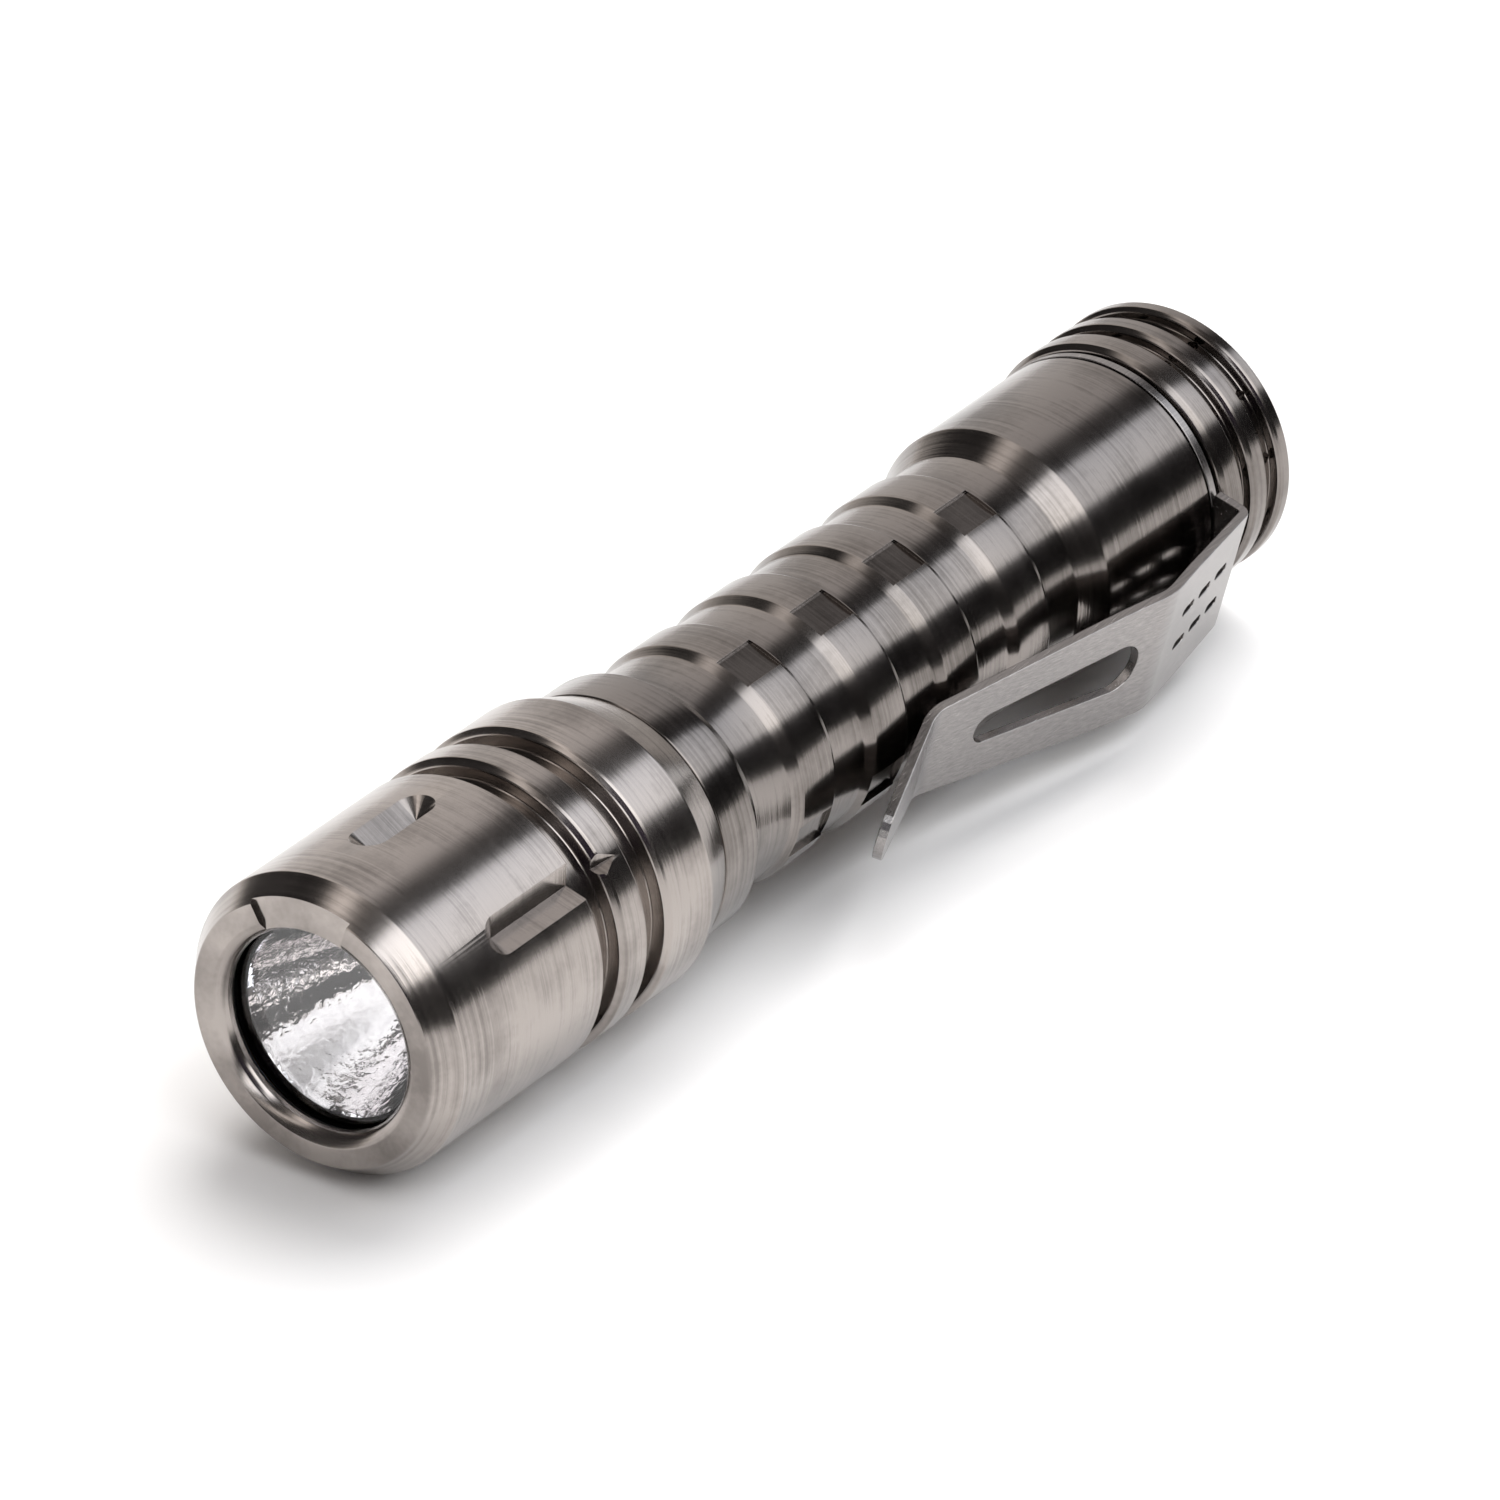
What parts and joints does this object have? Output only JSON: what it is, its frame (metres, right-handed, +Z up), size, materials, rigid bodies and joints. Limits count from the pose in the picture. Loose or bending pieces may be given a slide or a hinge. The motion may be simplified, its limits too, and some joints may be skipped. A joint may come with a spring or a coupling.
{
  "type": "keychain flashlight",
  "caption": "Slim machined metal pocket flashlight with a fluted head, ringed battery tube, finned tail cap and sprung pocket clip.",
  "frame": {"origin": "under the middle of the flashlight's box, on the surface it lies on", "axes": "+X along the body from the lens to the tail cap, +Z up, the pocket clip on the -Y side"},
  "size_m": [0.0728, 0.0186, 0.016],
  "materials": {
    "turned_titanium": "fine turned titanium with a satin sheen",
    "clip_steel": "tumbled spring steel sheet",
    "optic_glass": "flat coated glass",
    "reflector_silver": "orange-peel vacuum metallised aluminium",
    "seal_rubber": "matt black seal rubber",
    "boot_rubber": "matt black moulded rubber",
    "led_silicone": "clear silicone over yellow phosphor",
    "led_ceramic": "white ceramic",
    "board_laminate": "green solder mask",
    "board_metal_core": "white coated metal core board",
    "white_plastic": "white nylon",
    "black_plastic": "black moulded plastic",
    "wire_sleeve": "red wire insulation",
    "brass": "machined brass",
    "gold_contact": "gold plated spring wire",
    "cell_steel": "nickel plated steel can",
    "cell_sleeve": "heat shrunk film",
    "paper": "grey insulating paper"
  },
  "bodies": {
    "tube": {"battery_tube": "turned_titanium", "neck_seal": "seal_rubber"},
    "cell": {"cell_can": "cell_steel", "cell_wrap": "cell_sleeve", "cell_insulator": "paper", "cell_button": "cell_steel"},
    "head": {"head_shell": "turned_titanium", "lens_seal": "seal_rubber", "lens": "optic_glass", "reflector": "reflector_silver", "led_centring_ring": "white_plastic", "led_dome": "led_silicone", "led_base": "led_ceramic", "led_board": "board_metal_core", "led_wires": "wire_sleeve", "heat_pill": "brass", "driver_board": "board_laminate", "driver_parts": "black_plastic", "driver_contact": "brass", "pill_ring": "brass"},
    "spigot_seal": {"tail_seal": "seal_rubber"},
    "tail": {"tail_cap": "turned_titanium", "switch_ring": "brass", "switch_board": "board_laminate", "switch_body": "black_plastic", "switch_spacer": "white_plastic", "boot_flange": "boot_rubber", "tail_spring": "gold_contact", "switch_spring": "gold_contact"},
    "button": {"tail_button": "boot_rubber", "switch_plunger": "white_plastic"},
    "clip": {"pocket_clip": "clip_steel"}
  },
  "joints": [
    {"name": "head_travel", "type": "slide", "parent": "tube", "child": "cell", "axis": [-1, 0, 0], "range_m": [0, 0.0032]},
    {"name": "head_twist", "type": "hinge", "parent": "cell", "child": "head", "pos_m": [-0.02501, 0.00129, 0.008], "axis": [-1, 0, 0], "range_deg": [0, 1440]},
    {"name": "tail_travel", "type": "slide", "parent": "tube", "child": "spigot_seal", "axis": [1, 0, 0], "range_m": [0, 0.0032]},
    {"name": "tail_twist", "type": "hinge", "parent": "spigot_seal", "child": "tail", "pos_m": [0.03099, 0.00129, 0.008], "axis": [1, 0, 0], "range_deg": [0, 1440], "deforming": ["tail_spring"]},
    {"name": "button_press", "type": "slide", "parent": "tail", "child": "button", "axis": [-1, 0, 0], "range_m": [0, 0.0009], "stiffness_N_per_m": 1200, "deforming": ["switch_spring"]},
    {"name": "clip_swivel", "type": "hinge", "parent": "tube", "child": "clip", "pos_m": [0.02999, 0.00129, 0.008], "axis": [1, 0, 0], "continuous": true}
  ],
  "couplings": [
    {"joint": "head_twist", "follows": "head_travel", "rad_per_m": 7854},
    {"joint": "tail_twist", "follows": "tail_travel", "rad_per_m": 7854}
  ]
}
